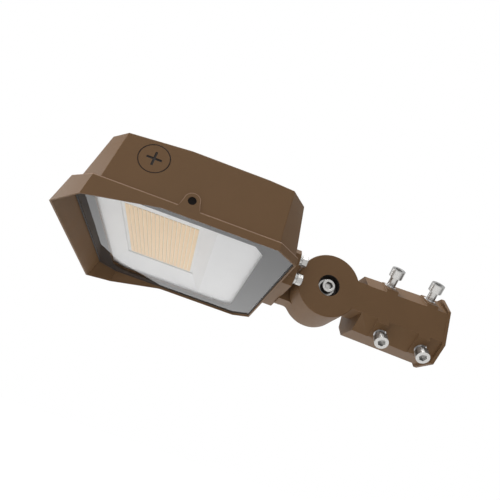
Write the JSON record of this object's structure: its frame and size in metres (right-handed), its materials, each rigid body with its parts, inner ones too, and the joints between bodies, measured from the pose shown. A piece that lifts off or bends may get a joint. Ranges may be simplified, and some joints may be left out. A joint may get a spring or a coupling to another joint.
{
  "type": "led floodlight",
  "caption": "Dark bronze LED floodlight: shallow drafted housing with a cut-off visor and glass lens, tilting on a two-disc knuckle with a pole slip fitter.",
  "frame": {"origin": "centre of the slip fitter's open mouth, on the axis of its socket", "axes": "+Y out of the socket's mouth, away from the lamp head; +Z from the light-emitting side to the lamp's back; +X along the tilt axis, towards the disc with the bolt head"},
  "size_m": [0.302, 0.4373, 0.0998],
  "materials": {
    "casting_finish": "die-cast aluminium with a smooth dark bronze powder coat",
    "screw_steel": "plain stainless steel",
    "black_steel": "black oxide",
    "black_rubber": "black silicone rubber",
    "lens_glass": "clear tempered glass with a dark grey printed border",
    "board_white": "metal-core circuit board with a white solder mask",
    "led_phosphor": "warm yellow phosphor silicone",
    "reflector_white": "white reflector sheet",
    "sheet_aluminium": "plain sheet",
    "driver_case": "drawn aluminium case filled with potting",
    "terminal_plastic": "pale moulded nylon",
    "lead_red": "silicone wire cover",
    "lead_black": "silicone wire cover",
    "plug_plastic": "moulded plug in the castings' dark bronze"
  },
  "bodies": {
    "fitter": {"slip_fitter": "casting_finish", "clamp_screws": "screw_steel", "pivot_bolt": "screw_steel", "pivot_washers": "screw_steel", "pivot_nut": "screw_steel", "knuckle_seal": "black_rubber"},
    "head": {"knuckle_arm": "casting_finish", "flange_gasket": "black_rubber", "flange_washers": "screw_steel", "flange_lock_washers": "screw_steel", "flange_bolts": "screw_steel", "wire_grommet": "black_rubber", "rear_housing": "casting_finish", "housing_gasket": "black_rubber", "front_frame": "casting_finish", "frame_screws": "black_steel", "glass_lens": "lens_glass", "lens_gasket": "black_rubber", "led_board": "board_white", "led_strips": "led_phosphor", "led_board_screws": "screw_steel", "reflector_tray": "reflector_white", "reflector_screws": "screw_steel", "driver_bracket": "sheet_aluminium", "led_driver": "driver_case", "driver_screws": "screw_steel", "terminal_block": "terminal_plastic", "led_lead_positive": "lead_red", "led_lead_negative": "lead_black", "photocell_plug": "plug_plastic", "plug_seal": "black_rubber"}
  },
  "joints": [
    {"name": "head_tilt", "type": "hinge", "parent": "fitter", "child": "head", "pos_m": [0, -0.1475, 0], "axis": [1, 0, 0], "range_deg": [-90, 90]}
  ]
}
